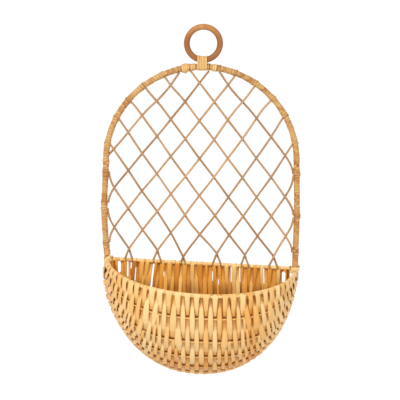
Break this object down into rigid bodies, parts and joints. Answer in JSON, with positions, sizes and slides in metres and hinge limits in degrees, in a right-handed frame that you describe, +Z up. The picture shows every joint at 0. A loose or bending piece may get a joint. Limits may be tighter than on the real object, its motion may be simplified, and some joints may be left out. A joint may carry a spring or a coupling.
{
  "type": "hanging wicker basket",
  "caption": "Wall-hung half basket of woven cane on a tall arched rattan frame, with an open diamond lattice of reeds and a hanging ring.",
  "frame": {"origin": "the hanging point, at the top of the ring's hole", "axes": "+Z up, +Y towards the wall behind the basket, +X to the right of someone facing it"},
  "size_m": [0.308, 0.1476, 0.547],
  "materials": {
    "ring_rattan": "smooth orange-brown rattan",
    "cane_wrap": "tan cane strip, satin",
    "pale_cane": "pale cane strip, satin",
    "lattice_reed": "thin brown reed, matt",
    "straw_cane": "straw-yellow split cane, satin",
    "amber_cane": "amber split cane, satin"
  },
  "bodies": {
    "basket": {"frame_pole": "cane_wrap", "frame_wrap_arch": "cane_wrap", "frame_wrap_left": "cane_wrap", "frame_wrap_right": "cane_wrap", "ring_binding": "pale_cane", "top_lashing_left": "pale_cane", "top_lashing_right": "pale_cane", "ear_lashing_left": "pale_cane", "ear_lashing_right": "pale_cane", "lattice_reed_right_1": "lattice_reed", "lattice_reed_right_2": "lattice_reed", "lattice_reed_right_3": "lattice_reed", "lattice_reed_right_4": "lattice_reed", "lattice_reed_right_5": "lattice_reed", "lattice_reed_right_6": "lattice_reed", "lattice_reed_right_7": "lattice_reed", "lattice_reed_right_8": "lattice_reed", "lattice_reed_right_9": "lattice_reed", "lattice_reed_left_1": "lattice_reed", "lattice_reed_left_2": "lattice_reed", "lattice_reed_left_3": "lattice_reed", "lattice_reed_left_4": "lattice_reed", "lattice_reed_left_5": "lattice_reed", "lattice_reed_left_6": "lattice_reed", "lattice_reed_left_7": "lattice_reed", "lattice_reed_left_8": "lattice_reed", "lattice_reed_left_9": "lattice_reed", "back_crossbar": "straw_cane", "front_rim": "straw_cane", "front_rib_1": "straw_cane", "front_rib_2": "straw_cane", "front_rib_3": "straw_cane", "front_rib_4": "straw_cane", "front_rib_5": "straw_cane", "front_rib_6": "straw_cane", "front_rib_7": "straw_cane", "back_rib_1": "amber_cane", "back_rib_2": "amber_cane", "back_rib_3": "amber_cane", "back_rib_4": "amber_cane", "front_weaver_1": "straw_cane", "front_weaver_2": "straw_cane", "front_weaver_3": "straw_cane", "front_weaver_4": "straw_cane", "front_weaver_5": "straw_cane", "front_weaver_6": "straw_cane", "front_weaver_7": "straw_cane", "front_weaver_8": "straw_cane", "front_weaver_9": "straw_cane", "back_weaver_1": "amber_cane", "back_weaver_2": "amber_cane", "back_weaver_3": "amber_cane", "back_weaver_4": "amber_cane", "back_weaver_5": "amber_cane"},
    "ring": {"hanging_ring": "ring_rattan"}
  },
  "joints": [
    {"name": "ring_tilt", "type": "hinge", "parent": "basket", "child": "ring", "pos_m": [0, 0, -0.0464], "axis": [1, 0, 0], "range_deg": [-70, 70]}
  ]
}
